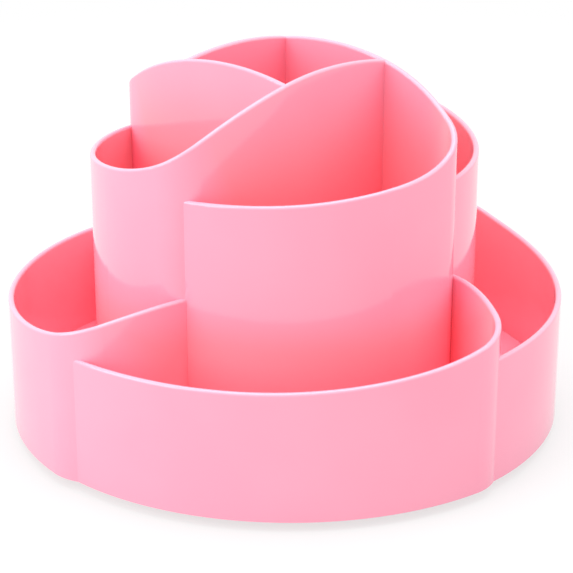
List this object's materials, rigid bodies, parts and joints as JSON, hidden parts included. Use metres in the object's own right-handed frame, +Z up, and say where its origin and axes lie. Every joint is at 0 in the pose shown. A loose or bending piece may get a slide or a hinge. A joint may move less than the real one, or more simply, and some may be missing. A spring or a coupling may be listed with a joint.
{
  "type": "rotating pen holder",
  "caption": "Desk pen holder with curved pinwheel walls: tall pen cups round a square middle cup, a low tray of pockets round them, turning on a ball-bearing base.",
  "frame": {"origin": "on the desk under the turning axis, at the middle of the feet's lower faces", "axes": "+Z up along the turning axis; the pictured front faces -Y"},
  "size_m": [0.1692, 0.1692, 0.114],
  "materials": {
    "pink_plastic": "smooth satin-gloss moulded plastic",
    "base_plastic": "fine matte moulded plastic",
    "cage_plastic": "natural unpainted plastic",
    "race_steel": "pressed bright steel",
    "ball_steel": "polished steel",
    "screw_steel": "zinc plated",
    "foot_rubber": "matte rubber"
  },
  "bodies": {
    "base": {"base_plate": "base_plastic", "lower_race": "race_steel", "pivot_bush": "cage_plastic", "foot_1": "foot_rubber", "foot_2": "foot_rubber", "foot_3": "foot_rubber", "foot_4": "foot_rubber", "foot_5": "foot_rubber", "foot_6": "foot_rubber"},
    "holder": {"pen_cups": "pink_plastic", "tray": "pink_plastic", "turntable": "base_plastic", "clamp_screws": "screw_steel", "upper_race": "race_steel", "pivot_screw": "screw_steel", "retaining_washer": "screw_steel", "thrust_washer": "cage_plastic"},
    "bearing": {"ball_cage": "cage_plastic", "ball_01": "ball_steel", "ball_02": "ball_steel", "ball_03": "ball_steel", "ball_04": "ball_steel", "ball_05": "ball_steel", "ball_06": "ball_steel", "ball_07": "ball_steel", "ball_08": "ball_steel", "ball_09": "ball_steel", "ball_10": "ball_steel", "ball_11": "ball_steel", "ball_12": "ball_steel"}
  },
  "joints": [
    {"name": "holder_spin", "type": "hinge", "parent": "base", "child": "holder", "pos_m": [0, 0, 0], "axis": [0, 0, 1], "continuous": true},
    {"name": "bearing_spin", "type": "hinge", "parent": "base", "child": "bearing", "pos_m": [0, 0, 0], "axis": [0, 0, 1], "continuous": true}
  ],
  "couplings": [
    {"joint": "bearing_spin", "follows": "holder_spin", "ratio": 0.5}
  ]
}
